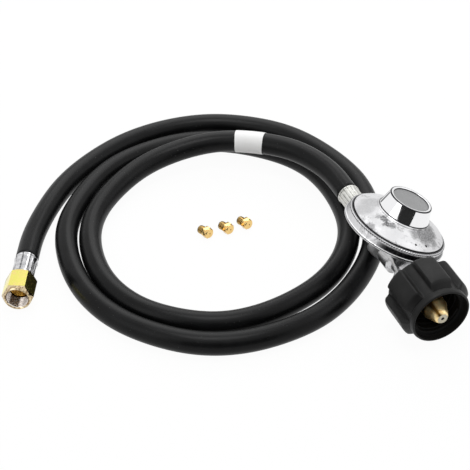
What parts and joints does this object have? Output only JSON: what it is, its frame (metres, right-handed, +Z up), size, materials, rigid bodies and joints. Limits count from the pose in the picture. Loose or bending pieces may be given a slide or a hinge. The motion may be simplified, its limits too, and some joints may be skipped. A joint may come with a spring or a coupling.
{
  "type": "propane regulator hose",
  "caption": "Low pressure propane regulator with a hand-turned inlet nut and a looped rubber hose ending in a flare nut, with spare orifice jets beside it.",
  "frame": {"origin": "middle of the box round the regulator, its nut and the loose jets, on the surface that they lie on", "axes": "-Y along the inlet and out of the coupling nut's mouth, +Z up"},
  "size_m": [0.2961, 0.2922, 0.0664],
  "materials": {
    "black_plastic": "matte moulded black",
    "brass": "machined brass",
    "bushing_plastic": "moulded black",
    "pale_brass": "pale machined brass",
    "spring_steel": "bright wire and turned steel",
    "cast_zinc": "die-cast zinc, polished with a fine mottle",
    "plated_steel": "bright zinc plate",
    "cap_grey": "matte mid grey",
    "diaphragm_rubber": "black rubber on fabric",
    "satin_ferrule": "satin, with fine lines along it",
    "hose_rubber": "smooth satin black",
    "label_paper": "white film label, left bare",
    "yellow_brass": "bright yellow brass"
  },
  "bodies": {
    "regulator": {"inlet_nipple": "brass", "thermal_bushing": "bushing_plastic", "nose_insert": "pale_brass", "excess_flow_spring": "spring_steel", "regulator_body": "cast_zinc", "bonnet": "cast_zinc", "crimp_ring": "plated_steel", "tower_cap": "cap_grey", "main_spring": "spring_steel", "diaphragm": "diaphragm_rubber", "lever_pin": "spring_steel", "valve_seat": "brass", "outlet_nipple": "brass", "regulator_ferrule": "satin_ferrule", "hose": "hose_rubber", "hose_label": "label_paper", "flare_ferrule": "plated_steel", "flare_stem": "brass", "orifice_jet_1": "yellow_brass", "orifice_jet_2": "yellow_brass", "orifice_jet_3": "yellow_brass"},
    "coupling_nut": {"coupling_nut": "black_plastic"},
    "flare_nut": {"flare_nut": "yellow_brass"},
    "adjusting_screw": {"adjusting_screw": "spring_steel"},
    "diaphragm_plate": {"diaphragm_plate": "plated_steel", "relief_spring": "spring_steel"},
    "relief_stem": {"relief_stem": "brass", "relief_nut": "plated_steel"},
    "lever": {"lever": "plated_steel"},
    "valve": {"valve_holder": "brass", "valve_disc": "diaphragm_rubber"},
    "excess_flow_poppet": {"excess_flow_poppet": "brass"}
  },
  "joints": [
    {"name": "coupling_nut_turn", "type": "hinge", "parent": "regulator", "child": "coupling_nut", "pos_m": [0.033, -0.066, 0.025], "axis": [0, -1, 0], "continuous": true},
    {"name": "flare_nut_turn", "type": "hinge", "parent": "regulator", "child": "flare_nut", "pos_m": [-0.21029, 0.06249, 0.01115], "axis": [-0.422, -0.9051, 0.0523], "continuous": true},
    {"name": "adjusting_screw_turn", "type": "hinge", "parent": "regulator", "child": "adjusting_screw", "pos_m": [0.04568, -0.0055, 0.05219], "axis": [0.4226, 0, 0.9063], "range_deg": [-720, 720]},
    {"name": "diaphragm_stroke", "type": "slide", "parent": "regulator", "child": "diaphragm_plate", "axis": [0.4226, 0, 0.9063], "range_m": [-0.003, 0.0008], "stiffness_N_per_m": 300, "deforming": ["diaphragm", "main_spring"]},
    {"name": "relief_lift", "type": "slide", "parent": "diaphragm_plate", "child": "relief_stem", "axis": [0.4226, 0, 0.9063], "range_m": [-0.0006, 0], "stiffness_N_per_m": 300, "deforming": ["relief_spring"]},
    {"name": "lever_turn", "type": "hinge", "parent": "regulator", "child": "lever", "pos_m": [0.03025, -0.0195, 0.01911], "axis": [0.9063, 0, -0.4226], "range_deg": [-12.5, 3.5]},
    {"name": "valve_slide", "type": "slide", "parent": "regulator", "child": "valve", "axis": [0, -1, 0], "range_m": [-0.0015, 0.0004]},
    {"name": "excess_flow_slide", "type": "slide", "parent": "regulator", "child": "excess_flow_poppet", "axis": [0, -1, 0], "range_m": [-0.003, 0], "stiffness_N_per_m": 200, "deforming": ["excess_flow_spring"]}
  ],
  "couplings": [
    {"joint": "lever_turn", "follows": "diaphragm_stroke", "rad_per_m": 71.429},
    {"joint": "valve_slide", "follows": "diaphragm_stroke", "ratio": 0.46429}
  ]
}
